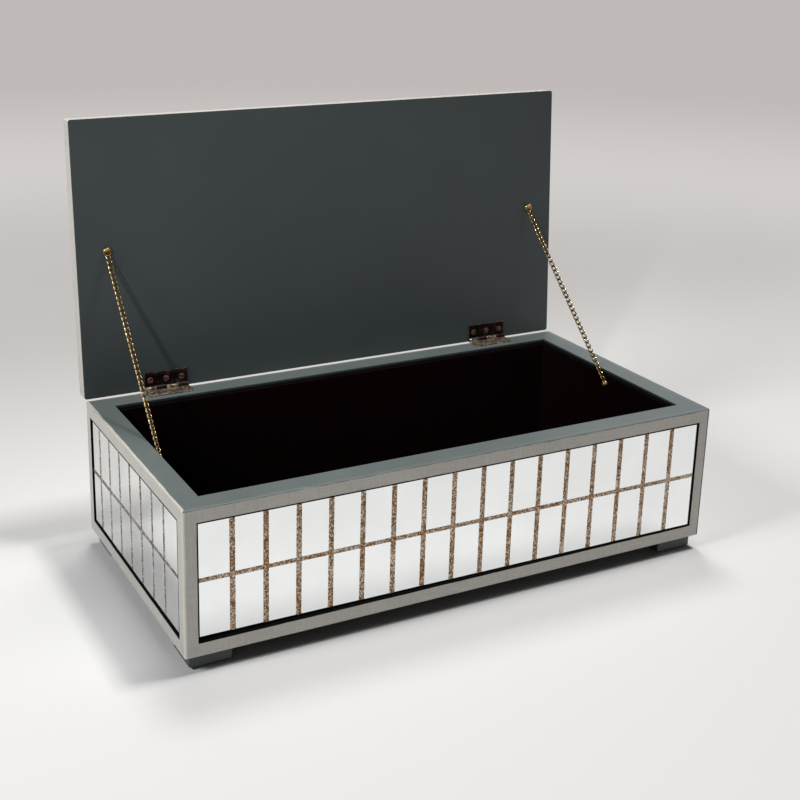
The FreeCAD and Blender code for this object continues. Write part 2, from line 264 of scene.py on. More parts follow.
SIDES = {
    "front": dict(axes=(X_AXIS, Z_AXIS, -Y_AXIS), origin=np.zeros(3), columns=17, rows=2, slide=0.0,
                  lift=(1.0 * MM, -0.2 * MM), proud=(0.0, 1.5 * MM)),
    "back": dict(axes=(-X_AXIS, Z_AXIS, Y_AXIS), origin=np.zeros(3), columns=17, rows=2, slide=0.6 * MM,
                 lift=(0.1 * MM, 0.7 * MM), proud=(0.5 * MM, 1.0 * MM)),
    "left": dict(axes=(-Y_AXIS, Z_AXIS, -X_AXIS), origin=np.zeros(3), columns=8, rows=2, slide=-3.5 * MM,
                 lift=(0.8 * MM, 0.6 * MM), proud=(1.5 * MM, 1.3 * MM)),
    "right": dict(axes=(Y_AXIS, Z_AXIS, X_AXIS), origin=np.zeros(3), columns=8, rows=2, slide=1.2 * MM,
                  lift=(0.3 * MM, 0.9 * MM), proud=(1.2 * MM, 0.8 * MM)),
    "lid": dict(axes=(-X_AXIS, LID_UP, LID_OUT), origin=PIN, columns=17, rows=5, slide=0.4 * MM,
                lift=(0.3 * MM, 0.1 * MM), proud=(1.0 * MM, 0.7 * MM)),
}


def lay_mosaic(name, axes, origin, columns, rows, slide, lift, proud):
    """Plates and strips of one side.

    Strip centres stand at even steps of the sheet, all slid by the same small error of laying. The sheet's
    lower edge and its level strips rise by a lift that goes evenly from the sheet's left to its right. The
    sheet's face stands proud of its seat in the same way, while its back stays down.
    """
    low, high = reach(f"{name}_mirror_tiles", axes, origin)
    # the left side takes darker copies of the mirror and glitter, painted as the shade seen in them there
    dulled = "left_" if name == "left" else ""
    wide = np.linspace(low[0], high[0], columns + 1)
    wide[1:-1] += slide
    tall = np.linspace(low[1], high[1], rows + 1)

    def level_at(line, along):
        """Height of a level line of the sheet: its even step, plus the sheet's lift there."""
        share = (along - low[0]) / (high[0] - low[0])
        rise = lift[0] + (lift[1] - lift[0]) * share
        return tall[line] + rise * (1 - line / rows)

    def stood_proud(points):
        """The points, with all but the back ones raised."""
        share = (points[:, 0] - low[0]) / (high[0] - low[0])
        rise = proud[0] + (proud[1] - proud[0]) * share
        raised = points.copy()
        raised[:, 2] += np.where(points[:, 2] > low[2], rise, 0.0)
        return raised

    column, row = [grid.ravel() for grid in np.meshgrid(np.arange(columns), np.arange(rows), indexing="ij")]
    left = wide[column] + np.where(column > 0, UPRIGHT_STRIP / 2, 0)
    right = wide[column + 1] - np.where(column < columns - 1, UPRIGHT_STRIP / 2, 0)
    middle = (left + right) / 2
    bottom = level_at(row, middle) + np.where(row > 0, LEVEL_STRIP / 2, 0)
    top = level_at(row + 1, middle) - np.where(row < rows - 1, LEVEL_STRIP / 2, 0)
    centres = np.stack([middle, (bottom + top) / 2], -1)
    halves = np.stack([right - left, top - bottom], -1) / 2
    tilts = PLATE_TILT * (2 * random.random(centres.shape) - 1)
    points, faces = plates(centres, halves, tilts, low[2], high[2])
    new_piece(f"{name}_mirror_plates", placed(stood_proud(points), axes, origin), faces,
              f"{name}_mirror_tiles", [MATERIALS[f"{dulled}mirror"]], smooth=False)

    upright = wide[1:-1]
    foot = level_at(0, upright)
    first = np.stack([upright, foot], -1)
    last = np.stack([upright, np.full(columns - 1, tall[-1])], -1)
    parts = [bars(first, last, UPRIGHT_STRIP / 2, low[2], high[2])]
    starts = np.concatenate([[wide[0]], upright + UPRIGHT_STRIP / 2])
    ends = np.concatenate([upright - UPRIGHT_STRIP / 2, [wide[-1]]])
    for line in range(1, rows):
        first = np.stack([starts, level_at(line, starts)], -1)
        last = np.stack([ends, level_at(line, ends)], -1)
        parts.append(bars(first, last, LEVEL_STRIP / 2, low[2], high[2]))
    points = []
    faces = []
    for part in parts:
        start = sum(len(p) for p in points)
        points.append(part[0])
        faces += [[corner + start for corner in face] for face in part[1]]
    points = stood_proud(np.concatenate(points))
    strips = new_piece(f"{name}_glitter_lattice", placed(points, axes, origin), faces,
                       f"{name}_glitter_strips", [MATERIALS[f"{dulled}glitter"]], smooth=False)
    face_values(strips, "grain", np.concatenate([part[2] for part in parts]))
    face_values(strips, "worn", np.concatenate([part[3] for part in parts]))


# ---------------------------------------------------------------- chain

def curb_links(centres, along, turns, sideways):
    """Curb links along a straight chain.

    The centre line is (reach cos t, half width sin t, twist sin 2t). A round of wire goes along it, in the
    plane across the line's direction, and what stands past the filed faces is laid flat on them. The link is
    slanted a little in its own plane, and turned about the chain by its own angle. Also gives, per face, how
    dark it is: with patina where it faces into its link, and with painted shade where the next link lies over
    it.
    """
    t = np.linspace(0, 2 * math.pi, LINK_POINTS, endpoint=False)
    line = np.stack([LINK_REACH * np.cos(t), LINK_HALF_WIDTH * np.sin(t), LINK_TWIST * np.sin(2 * t)], -1)
    ahead = np.stack([-LINK_REACH * np.sin(t), LINK_HALF_WIDTH * np.cos(t),
                      2 * LINK_TWIST * np.cos(2 * t)], -1)
    ahead /= np.linalg.norm(ahead, axis=1)[:, None]
    beside = np.cross(ahead, Z_AXIS)
    beside /= np.linalg.norm(beside, axis=1)[:, None]
    over = np.cross(ahead, beside)
    a = np.linspace(0, 2 * math.pi, WIRE_POINTS, endpoint=False)
    round_wire = np.cos(a)[:, None] * beside[:, None] + np.sin(a)[:, None] * over[:, None]
    wire = line[:, None] + LINK_WIRE * round_wire
    wire[..., 2] = np.clip(wire[..., 2], -LINK_FILED, LINK_FILED)
    wire = wire.reshape(-1, 3)
    lean = np.array([[math.cos(LINK_SLANT), math.sin(LINK_SLANT), 0.0],
                     [-math.sin(LINK_SLANT), math.cos(LINK_SLANT), 0.0], [0.0, 0.0, 1.0]])
    wire = wire @ lean

    up = np.cross(along, sideways)
    across = np.cos(turns)[:, None] * up + np.sin(turns)[:, None] * sideways
    off = np.cross(along, across)
    points = (centres[:, None] + wire[None, :, :1] * along + wire[None, :, 1:2] * across[:, None]
              + wire[None, :, 2:] * off[:, None])
    faces = repeated_faces(tube_faces(LINK_POINTS, WIRE_POINTS, closed=True), len(centres),
                           LINK_POINTS * WIRE_POINTS)
    inward = INNER_AGE / 2 - INNER_AGE / 2 * np.cos(a + math.pi / WIRE_POINTS)
    toward_end = np.abs(np.cos(t + math.pi / LINK_POINTS - LINK_LEAN))
    # painted shade where the next link lies over this one
    under = np.clip((toward_end - COVERED_FROM) / COVERED_OVER, 0, 1)
    patina_and_shade = np.maximum(inward[None, :], under[:, None]).ravel()
    return points.reshape(-1, 3), faces, np.tile(patina_and_shade, len(centres))


def hang_chain(side):
    """One side's chain, as the three runs that the frame moves it in."""
    ring_end = np.array(JOINTS[f"{side}_chain_upper_swing"]["pos_m"])
    screw_end = np.array(JOINTS[f"{side}_chain_lower_swing"]["pos_m"])
    along = (screw_end - ring_end) / np.linalg.norm(screw_end - ring_end)
    middle = (ring_end + screw_end) / 2
    index = np.arange(CHAIN_LINKS)
    centres = middle + ((index - (CHAIN_LINKS - 1) / 2) * LINK_PITCH)[:, None] * along
    sideways = X_AXIS - along * along[0]
    sideways /= np.linalg.norm(sideways)
    turns = np.radians(np.linspace(*CHAIN_TURNS[side], CHAIN_LINKS))
    runs = {"upper": index < UPPER_LINKS,
            "turn": (index >= UPPER_LINKS) & (index < UPPER_LINKS + TURN_LINKS),
            "lower": index >= UPPER_LINKS + TURN_LINKS}
    for run, chosen in runs.items():
        points, faces, patina_and_shade = curb_links(centres[chosen], along, turns[chosen], sideways)
        links = new_piece(f"{side}_curb_links_{run}", points, faces, f"{side}_chain_{run}",
                          [MATERIALS["curb_brass"]])
        face_values(links, "patina_and_shade", patina_and_shade)


# ---------------------------------------------------------------- feet and hinges

def carve_foot(node):
    """A block foot: a square outline with quarter-round corners, drawn in below to bevel its bottom."""
    low, high = (np.array(corner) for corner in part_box(node))
    middle = (low + high)[:2] / 2
    half = (high - low)[:2] / 2
    quarter = np.linspace(0, math.pi / 2, FOOT_CORNER_POINTS)
    a = np.concatenate([quarter + k * math.pi / 2 for k in range(4)])
    corners = np.repeat([[1, 1], [-1, 1], [-1, -1], [1, -1]], len(quarter), axis=0)
    drawn_in = FOOT_BEVEL * np.array([1.0, 0.5, 0.0, 0.0])[:, None, None]
    height = np.array([0.0, FOOT_BEVEL / 2, FOOT_BEVEL, high[2] - low[2]])
    radius = np.maximum(FOOT_CORNER - drawn_in, FOOT_CORNER / 10)
    points = np.empty((len(height), len(a), 3))
    points[..., :2] = (middle + corners * (half - drawn_in - radius)
                       + radius * np.stack([np.cos(a), np.sin(a)], -1))
    points[..., 2] = low[2] + height[:, None]
    new_piece(f"{node}_block", points, tube_faces(len(height), len(a)), node, [MATERIALS["foot_paint"]],
              smooth=False)


def ease_leaf(node, name, body_material, edge_material, width):
    """A leaf rubbed round: its node's shape, merged, with a narrow bevel on sharp edges, of bare metal that
    is also painted bright as the edges' highlight.
    """
    mesh = NODES[node].data.copy()
    mesh.name = name
    mesh.materials.clear()
    mesh.materials.append(body_material)
    mesh.materials.append(edge_material)
    shape = bmesh.new()
    shape.from_mesh(mesh)
    bmesh.ops.remove_doubles(shape, verts=shape.verts, dist=LEAF_MERGE)
    bmesh.ops.dissolve_limit(shape, angle_limit=math.radians(0.5), verts=shape.verts, edges=shape.edges)
    for face in shape.faces:
        face.material_index = 0
        face.smooth = True
    shape.to_mesh(mesh)
    shape.free()
    piece = bpy.data.objects.new(name, mesh)
    bpy.context.scene.collection.objects.link(piece)
    bevel = piece.modifiers.new("rubbed edges", "BEVEL")
    bevel.width = width
    bevel.segments = 2
    bevel.limit_method = "ANGLE"
    bevel.angle_limit = math.radians(40)
    bevel.material = 1
    bevel.harden_normals = True
    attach(piece, BODY_OF[node])
    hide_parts(node)
    return piece


# ---------------------------------------------------------------- node building

def add_node(tree, kind, inputs=None, **settings):
    """One node, with its settings, and each input joined or given a plain value."""
    made = tree.nodes.new(kind)
    for key, value in settings.items():
        setattr(made, key, value)
    for key, value in (inputs or {}).items():
        put(tree, made.inputs[key], value)
    return made


def put(tree, socket, value):
    """Joins another node's output to a socket, or sets the socket's own value."""
    if isinstance(value, bpy.types.NodeSocket):
        tree.links.new(value, socket)
    else:
        socket.default_value = value


def maths(tree, operation, a, b=0.0, c=0.0):
    """The number from one Math node."""
    return add_node(tree, "ShaderNodeMath", {0: a, 1: b, 2: c}, operation=operation).outputs[0]


def rest_of(tree, share):
    """What a share leaves of 1."""
    return maths(tree, "SUBTRACT", 1.0, share)


def blended(tree, share, a, b):
    """Colour a going to colour b as the share goes from 0 to 1."""
    return add_node(tree, "ShaderNodeMix", {0: share, 6: a, 7: b}, data_type="RGBA").outputs[2]


def between(tree, value, low, high, to_low=0.0, to_high=1.0):
    """A value spread from one range to another, smoothly and no further."""
    return add_node(tree, "ShaderNodeMapRange", {0: value, 1: low, 2: high, 3: to_low, 4: to_high},
                    interpolation_type="SMOOTHSTEP").outputs[0]


def noise(tree, vector, scale, detail=2.0, roughness=0.5, distortion=0.0):
    """The value of one Noise texture, at so many lumps a metre."""
    made = add_node(tree, "ShaderNodeTexNoise", {"Vector": vector, "Scale": scale, "Detail": detail,
                                                 "Roughness": roughness, "Distortion": distortion})
    return made.outputs["Fac"]


def vectors(tree, operation, a, b):
    """The vector from one Vector Math node."""
    return add_node(tree, "ShaderNodeVectorMath", {0: a, 1: b}, operation=operation).outputs[0]


def stretched(tree, vector, scale):
    """A vector with each of its parts multiplied by its own number."""
    return vectors(tree, "MULTIPLY", vector, scale)


def scaled(tree, vector, factor):
    """A vector or a colour with all of its parts multiplied by the same number."""
    return add_node(tree, "ShaderNodeVectorMath", {0: vector, "Scale": factor}, operation="SCALE").outputs[0]


def parts_of(tree, vector):
    """A vector's X, Y and Z."""
    return add_node(tree, "ShaderNodeSeparateXYZ", {0: vector}).outputs


def bumped(tree, height, strength, distance):
    """A normal tilted by a height."""
    made = add_node(tree, "ShaderNodeBump", {"Height": height, "Strength": strength, "Distance": distance})
    return made.outputs["Normal"]


def rgba(colour):
    """A colour with its alpha."""
    return (*colour, 1.0)


def new_group(name, inputs, outputs):
    """An empty node group with named sockets: (name, kind, value) in, (name, kind) out."""
    group = bpy.data.node_groups.new(name, "ShaderNodeTree")
    for title, kind, value in inputs:
        socket = group.interface.new_socket(title, in_out="INPUT", socket_type=kind)
        if value is not None:
            socket.default_value = value
    for title, kind in outputs:
        group.interface.new_socket(title, in_out="OUTPUT", socket_type=kind)
    return group, group.nodes.new("NodeGroupInput"), group.nodes.new("NodeGroupOutput")


def use_group(tree, group, **inputs):
    """A node group placed in a tree, with values given by socket name."""
    made = tree.nodes.new("ShaderNodeGroup")
    made.node_tree = group
    for key, value in inputs.items():
        put(tree, made.inputs[key.replace("_", " ").title()], value)
    return made.outputs


FLOAT = "NodeSocketFloat"
VECTOR = "NodeSocketVector"


def make_depth_group():
    """How far a point lies in from the box's upright outer faces: the least of its distances to them."""
    group, given, result = new_group("depth into the box", [("Vector", VECTOR, None)], [("Depth", FLOAT)])
    parts = parts_of(group, given.outputs["Vector"])
    side = maths(group, "SUBTRACT", HALF_WIDTH, maths(group, "ABSOLUTE", parts["X"]))
    front = maths(group, "SUBTRACT", parts["Y"], FRONT_Y)
    back = maths(group, "SUBTRACT", BACK_Y, parts["Y"])
    least = maths(group, "MINIMUM", maths(group, "MINIMUM", front, back), side)
    put(group, result.inputs["Depth"], least)
    return group


def make_weave_group():
    """Linen threads: the product of two sines a thread apart, wandering a little, and slubs that run along
    either thread, as noise drawn out one way and then the other."""
    group, given, result = new_group(
        "linen weave", [("Vector", VECTOR, None), ("Pitch", FLOAT, 0.0006)],
        [("Height", FLOAT), ("Shade", FLOAT)])
    vector = given.outputs["Vector"]
    wander = add_node(group, "ShaderNodeTexNoise", {"Vector": vector, "Scale": 260.0, "Detail": 3.0})
    bend = vectors(group, "SUBTRACT", wander.outputs["Color"], (0.5, 0.5, 0.5))
    turn = scaled(group, vector, maths(group, "DIVIDE", 2 * math.pi, given.outputs["Pitch"]))
    bent = vectors(group, "ADD", turn, stretched(group, bend, (5, 5, 5)))
    waves = [maths(group, "SINE", part) for part in parts_of(group, bent)]
    product = maths(group, "MULTIPLY", maths(group, "ADD", waves[0], waves[1]), waves[2])
    put(group, result.inputs["Height"], maths(group, "MULTIPLY", product, 0.5))
    along = noise(group, stretched(group, vector, (70, 70, 1500)), 1.0, 2.0)
    upright = noise(group, stretched(group, vector, (1500, 1500, 70)), 1.0, 2.0)
    put(group, result.inputs["Shade"], maths(group, "SUBTRACT", maths(group, "ADD", along, upright), 1.0))
    return group


def make_mottle_group():
    """A slow change of tone: two sizes of noise, as a number about 0."""
    group, given, result = new_group("slow mottle", [("Vector", VECTOR, None), ("Scale", FLOAT, 30.0)],
                                     [("Value", FLOAT)])
    large = noise(group, given.outputs["Vector"], given.outputs["Scale"], 3.0, 0.55)
    put(group, result.inputs["Value"], maths(group, "SUBTRACT", large, 0.5))
    return group


def make_lid_group():
    """A point's place on the lid: how far in from the lid's outline, and how far up from its inside face."""
    group, given, result = new_group("place on the lid", [("Vector", VECTOR, None)],
                                     [("Inset", FLOAT), ("Level", FLOAT)])
    low, high = reach("lid_panel", LID_AXES, PIN)
    from_pin = vectors(group, "SUBTRACT", given.outputs["Vector"], tuple(PIN))

    def along(axis):
        return add_node(group, "ShaderNodeVectorMath", {0: from_pin, 1: tuple(axis)},
                        operation="DOT_PRODUCT").outputs["Value"]

    side = maths(group, "SUBTRACT", high[0], maths(group, "ABSOLUTE", along(X_AXIS)))
    below = maths(group, "SUBTRACT", along(LID_UP), low[1])
    above = maths(group, "SUBTRACT", high[1], along(LID_UP))
    least = maths(group, "MINIMUM", side, maths(group, "MINIMUM", below, above))
    put(group, result.inputs["Inset"], least)
    put(group, result.inputs["Level"], maths(group, "SUBTRACT", along(LID_OUT), low[2]))
    return group


GROUPS = {"depth": make_depth_group(), "weave": make_weave_group(), "mottle": make_mottle_group(),
          "lid": make_lid_group()}


def new_finish(name):
    """A material with one shader: gives the material, its tree, its shader and its object coordinates."""
    material = bpy.data.materials.new(name)
    material.use_nodes = True
    tree = material.node_tree
    shader = tree.nodes["Principled BSDF"]
    place = tree.nodes.new("ShaderNodeTexCoord").outputs["Object"]
    return material, tree, shader, place


def give(shader, name, value):
    """Joins or sets one of a shader's inputs, by its name."""
    put(shader.id_data, shader.inputs[name], value)


def toned(tree, colour, amount, place, scale):
    """A colour whose brightness goes up and down by an amount over slow patches."""
    value = use_group(tree, GROUPS["mottle"], vector=place, scale=scale)["Value"]
    return scaled(tree, colour, maths(tree, "MULTIPLY_ADD", value, 2 * amount, 1.0))


# ---------------------------------------------------------------- finishes

SLATE = (0.134, 0.158, 0.154)       # rims: the slate paint, painted lighter as the light falls on their tops
# the lid's inside: slate painted darker as its shade
SHADED_LID_SLATE = (0.052, 0.062, 0.064)
SHADED_SLATE = (0.040, 0.048, 0.051)  # slate painted darker as the shade on the feet and on the walls' insides
RUBBED_SLATE = (0.10, 0.11, 0.11)   # spots low on the feet
LINEN = (0.575, 0.548, 0.502)
HIGHLIGHT_CREAM = (0.72, 0.69, 0.61)          # linen painted light as the highlight on the front's left corner
FLOCK = (0.0048, 0.0005, 0.0009)
FIBRE = (0.16, 0.12, 0.085)         # bottom board, and its paler flecks
PALE_FIBRE = (0.30, 0.235, 0.17)
PATINA_SHADE_BRASS = (0.105, 0.066, 0.025)  # patina where a link faces inward, and painted shade where the next link covers it
STREAK_DEPTH = 0.55                 # share of a rim's tone that its brush streaks take or add
OPENING_LINE = 0.65 * MM                # black line round a frame's opening
SHEET_ROOM = 0.40 * MM              # between the plates and the opening they lie in
NEAR_BLACK = (0.004, 0.004, 0.004)
BLACK = (0.0, 0.0, 0.0)
WEAVE_PITCH = 0.55 * MM             # linen, from thread to thread
THREAD_HEIGHT = 0.08 * MM
LINEN_ROUGHNESS = 0.62
PAINT_EDGE = 0.15 * MM              # over which paint or ink gives out
LEFT_BORDER = 1.0 * MM              # linen left bare on top of the left rim
BACK_BORDER = 0.3 * MM
NO_BORDER = -1.0 * MM
GLITTER_TONES = [                   # from which share of the grains, and their colour
    (0.00, (0.220, 0.085, 0.018)),
    (0.16, (0.375, 0.160, 0.038)),
    (0.40, (0.50, 0.235, 0.062)),
    (0.60, (0.70, 0.58, 0.40)),
    (0.73, (0.86, 0.80, 0.66)),
    (0.88, (0.96, 0.95, 0.90)),
]


def slate_colour(tree, place, paint=SLATE, streak=(0.0, 0.0, 0.0)):
    """Slate paint: even, with slow clouds, and fine brush streaks drawn out along the board."""
    base = toned(tree, paint, 0.10, place, 22.0)
    if not any(streak):
        return base
    lines = maths(tree, "SUBTRACT", noise(tree, stretched(tree, place, streak), 1.0, 3.0, 0.6), 0.5)
    return scaled(tree, base, maths(tree, "MULTIPLY_ADD", lines, STREAK_DEPTH, 1.0))


def slate_roughness(tree, place):
    """Satin paint, a little duller in places."""
    return between(tree, noise(tree, place, 60.0, 3.0), 0.3, 0.7, 0.34, 0.44)


def linen_colour(tree, place, weave):
    """Linen: warm grey threads, with lighter and darker slubs."""
    base = toned(tree, LINEN, 0.10, place, 30.0)
    shade = maths(tree, "MULTIPLY_ADD", weave["Shade"], 0.22, 1.0)
    thread = maths(tree, "MULTIPLY_ADD", weave["Height"], 0.16, 1.0)
    fibre = maths(tree, "SUBTRACT", noise(tree, place, 1500.0, 2.0, 0.7), 0.5)
    both = maths(tree, "MULTIPLY", maths(tree, "MULTIPLY", shade, thread),
                 maths(tree, "MULTIPLY_ADD", fibre, 0.55, 1.0))
    return scaled(tree, base, both)


def make_opening_mask(tree, place, side, waver):
    """1 within the black line round a frame's opening: the greater of the distances outside its outline."""
    low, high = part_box(f"{side}_mirror_tiles")
    axis = "X" if side in ("front", "back") else "Y"
    across = 0 if axis == "X" else 1
    parts = parts_of(tree, place)
    away = maths(tree, "ABSOLUTE", maths(tree, "SUBTRACT", parts[axis], (low[across] + high[across]) / 2))
    above = maths(tree, "ABSOLUTE", maths(tree, "SUBTRACT", parts["Z"], (low[2] + high[2]) / 2))
    away = maths(tree, "SUBTRACT", away, (high[across] - low[across]) / 2)
    above = maths(tree, "SUBTRACT", above, (high[2] - low[2]) / 2)
    outside = maths(tree, "MULTIPLY_ADD", waver, 0.35, maths(tree, "MAXIMUM", away, above))
    line = SHEET_ROOM + OPENING_LINE
    return between(tree, outside, line, line + PAINT_EDGE, 1.0, 0.0)


def make_frame_linen(side, over_top):
    """The linen-faced frame of a box side.

    Linen lies on the outer face. The rim on top is slate paint up to a hand-painted line, which leaves a
    border of linen 'over_top' wide, and the edges inside the frame and below it are black. Along the front's
    left corner a cream line is painted as the highlight on its rounding, and along its right corner slate
    grey is painted as the shade on its rounding.
    """
    material, tree, shader, place = new_finish(f"{side} linen")
    depth = use_group(tree, GROUPS["depth"], vector=place)["Depth"]
    parts = parts_of(tree, place)
    height = parts["Z"]
    waver = maths(tree, "MULTIPLY", maths(tree, "SUBTRACT", noise(tree, place, 95.0, 3.0), 0.5), 1.1 * MM)
    on_top = between(tree, maths(tree, "ADD", height, waver), RIM_Z - 0.55 * MM, RIM_Z - 0.40 * MM)
    inward = between(tree, maths(tree, "ADD", depth, waver), over_top, over_top + PAINT_EDGE)
    painted = maths(tree, "MULTIPLY", on_top, inward)
    flat_top = between(tree, height, RIM_Z - 0.6 * MM, RIM_Z - 0.5 * MM)
    edges = maths(tree, "MAXIMUM", between(tree, depth, 0.55 * MM, 0.75 * MM),
                  make_opening_mask(tree, place, side, waver))
    hidden = maths(tree, "MULTIPLY", edges, rest_of(tree, flat_top))

    weave = use_group(tree, GROUPS["weave"], vector=place, pitch=WEAVE_PITCH)
    linen = linen_colour(tree, place, weave)

    front = maths(tree, "ADD", maths(tree, "SUBTRACT", parts["Y"], FRONT_Y), waver)
    from_left = maths(tree, "ADD", maths(tree, "ADD", parts["X"], HALF_WIDTH), front)
    from_right = maths(tree, "ADD", maths(tree, "SUBTRACT", HALF_WIDTH, parts["X"]), front)
    # painted highlight: a cream line along the front's left corner
    rub_and_highlight = between(tree, from_left, 0.8 * MM, 1.2 * MM, 0.85, 0.0)
    linen = blended(tree, rub_and_highlight, linen, rgba(HIGHLIGHT_CREAM))
    # painted shade: slate grey along the front's right corner
    corner_shade = between(tree, from_right, 0.9 * MM, 1.3 * MM, 1.0, 0.0)
    linen = blended(tree, corner_shade, linen, slate_colour(tree, place))

    streak = (90, 1100, 1100) if side in ("front", "back") else (1100, 90, 1100)
    colour = blended(tree, painted, linen, slate_colour(tree, place, SLATE, streak))
    colour = blended(tree, hidden, colour, rgba(NEAR_BLACK))
    give(shader, "Base Color", colour)
    rough = add_node(tree, "ShaderNodeMix", {0: painted, 2: LINEN_ROUGHNESS, 3: slate_roughness(tree, place)})
    give(shader, "Roughness", rough.outputs[0])
    give(shader, "Specular IOR Level", between(tree, hidden, 0.0, 1.0, 0.5, 0.0))
    raised = maths(tree, "MULTIPLY", weave["Height"], rest_of(tree, painted))
    give(shader, "Normal", bumped(tree, raised, 0.35, THREAD_HEIGHT))
    give(shader, "Sheen Weight", 0.06)
    return material


def make_lid_board(name, whole):
    """The lid's board and frame: linen over the outline's edges and, on the frame, over the outside face."""
    material, tree, shader, place = new_finish(name)
    give(shader, "Specular IOR Level", 0.25)
    on_lid = use_group(tree, GROUPS["lid"], vector=place)
    weave = use_group(tree, GROUPS["weave"], vector=place, pitch=WEAVE_PITCH)
    linen = linen_colour(tree, place, weave)
    inner = between(tree, on_lid["Level"], 0.25 * MM, 0.40 * MM, 1.0, 0.0)
    shown = between(tree, on_lid["Inset"], 0.5 * MM, 0.7 * MM, 1.0, 0.0)
    if whole:
        frame_top = reach("lid_frame", LID_AXES, PIN)[1]
        panel_foot = reach("lid_panel", LID_AXES, PIN)[0]
        face = frame_top[2] - panel_foot[2]
        outer = between(tree, on_lid["Level"], face - 0.7 * MM, face - 0.5 * MM)
        shown = maths(tree, "MAXIMUM", outer, shown)
    colour = blended(tree, shown, rgba(NEAR_BLACK), linen)
    # the inside face: slate painted darker as the lid's shade
    colour = blended(tree, inner, colour, slate_colour(tree, place, SHADED_LID_SLATE))
    give(shader, "Base Color", colour)
    rough = add_node(tree, "ShaderNodeMix", {0: inner, 2: LINEN_ROUGHNESS, 3: slate_roughness(tree, place)})
    give(shader, "Roughness", rough.outputs[0])
    thread = maths(tree, "MULTIPLY", weave["Height"], rest_of(tree, inner))
    give(shader, "Normal", bumped(tree, thread, 0.35, THREAD_HEIGHT))
    return material


def make_wall_board():
    """The walls: slate paint on the rim. Inside, slate painted darker and then black, as the box's shade and
    partly glue; behind the mosaic, black: partly the board's dark face, partly painted shade in its gaps.
    """
    material, tree, shader, place = new_finish("painted wall board")
    give(shader, "Specular IOR Level", 0.35)
    depth = use_group(tree, GROUPS["depth"], vector=place)["Depth"]
    height = parts_of(tree, place)["Z"]
    # behind the mosaic: black, partly the board's dark face and partly painted shade in the gaps
    behind = maths(tree, "MULTIPLY", between(tree, depth, 3.2 * MM, 3.6 * MM, 1.0, 0.0),
                   between(tree, height, RIM_Z - 1.5 * MM, RIM_Z - 1.0 * MM, 1.0, 0.0))
    rim = between(tree, height, RIM_Z - 0.5 * MM, RIM_Z - 0.2 * MM)
    # inside under the rim: slate painted darker, then black, as painted shade in the box; the black is partly
    # glue
    band = between(tree, height, RIM_Z - 1.6 * MM, RIM_Z - 1.2 * MM)
    below = blended(tree, band, rgba(NEAR_BLACK), slate_colour(tree, place, SHADED_SLATE))
    paint = blended(tree, rim, below, slate_colour(tree, place))
    give(shader, "Base Color", blended(tree, behind, paint, rgba(NEAR_BLACK)))
    give(shader, "Roughness", slate_roughness(tree, place))
    grain = noise(tree, place, 700.0, 3.0)
    give(shader, "Normal", bumped(tree, grain, 0.06, 0.05 * MM))
    return material


def make_foot_paint():
    """The feet: slate painted darker as their shade under the box, rubbed lighter in spots near the bottom.
    """
    material, tree, shader, place = new_finish("painted foot")
    height = parts_of(tree, place)["Z"]
    low_down = between(tree, height, 0.0, 2.5 * MM, 1.0, 0.0)
    spots = between(tree, noise(tree, place, 420.0, 4.0), 0.56, 0.66)
    rub_and_highlight = maths(tree, "MULTIPLY", low_down, spots)
    colour = blended(tree, rub_and_highlight, slate_colour(tree, place, SHADED_SLATE), rgba(RUBBED_SLATE))
    give(shader, "Base Color", colour)
    give(shader, "Roughness", slate_roughness(tree, place))
    give(shader, "Normal", bumped(tree, noise(tree, place, 900.0, 3.0), 0.08, 0.06 * MM))
    return material


def make_mirror(name, silver, cloud):
    """Silvered plates: bright, very slightly uneven, clouded in broad patches and hazy in spots."""
    material, tree, shader, place = new_finish(name)
    colour = toned(tree, silver, cloud, place, 28.0)
    give(shader, "Base Color", colour)
    give(shader, "Metallic", 1.0)
    haze = between(tree, noise(tree, place, 150.0, 2.0), 0.45, 0.8, 0.02, 0.07)
    give(shader, "Roughness", haze)
    give(shader, "Normal", bumped(tree, noise(tree, place, 38.0, 1.0), 0.12, 0.25 * MM))
    return material


def make_glitter(name, tint):
    """Glitter strips: each grain takes its own tone from brown to cream, and worn stretches are paler."""
    material, tree, shader, place = new_finish(name)
    grain = add_node(tree, "ShaderNodeAttribute", attribute_name="grain").outputs["Fac"]
    worn = add_node(tree, "ShaderNodeAttribute", attribute_name="worn").outputs["Fac"]
    lifted = maths(tree, "ADD", grain, between(tree, worn, 0.35, 0.95, -0.06, 0.12))
    ramp = add_node(tree, "ShaderNodeValToRGB", {0: lifted})
    ramp.color_ramp.interpolation = "CONSTANT"
    elements = ramp.color_ramp.elements
    while len(elements) < len(GLITTER_TONES):
        elements.new(1.0)
    for element, (position, tone) in zip(elements, GLITTER_TONES):
        element.position = position
        element.color = rgba(tone)
    give(shader, "Base Color", stretched(tree, ramp.outputs["Color"], tint))
    give(shader, "Roughness", between(tree, lifted, 0.4, 0.9, 0.55, 0.35))
    give(shader, "Specular IOR Level", 0.20)
    fine = noise(tree, place, 2600.0, 2.0)
    give(shader, "Normal", bumped(tree, fine, 0.3, 0.06 * MM))
    return material


def make_lining():
    """Flock: black with a breath of wine red, and a nap of very fine fibres."""
    material, tree, shader, place = new_finish("flocked lining")
    colour = toned(tree, FLOCK, 0.25, place, 55.0)
    give(shader, "Base Color", colour)
    give(shader, "Roughness", 0.95)
    give(shader, "Specular IOR Level", 0.03)
    give(shader, "Sheen Weight", 0.01)
    give(shader, "Sheen Roughness", 0.5)
    give(shader, "Normal", bumped(tree, noise(tree, place, 3200.0, 3.0), 0.5, 0.10 * MM))
    return material


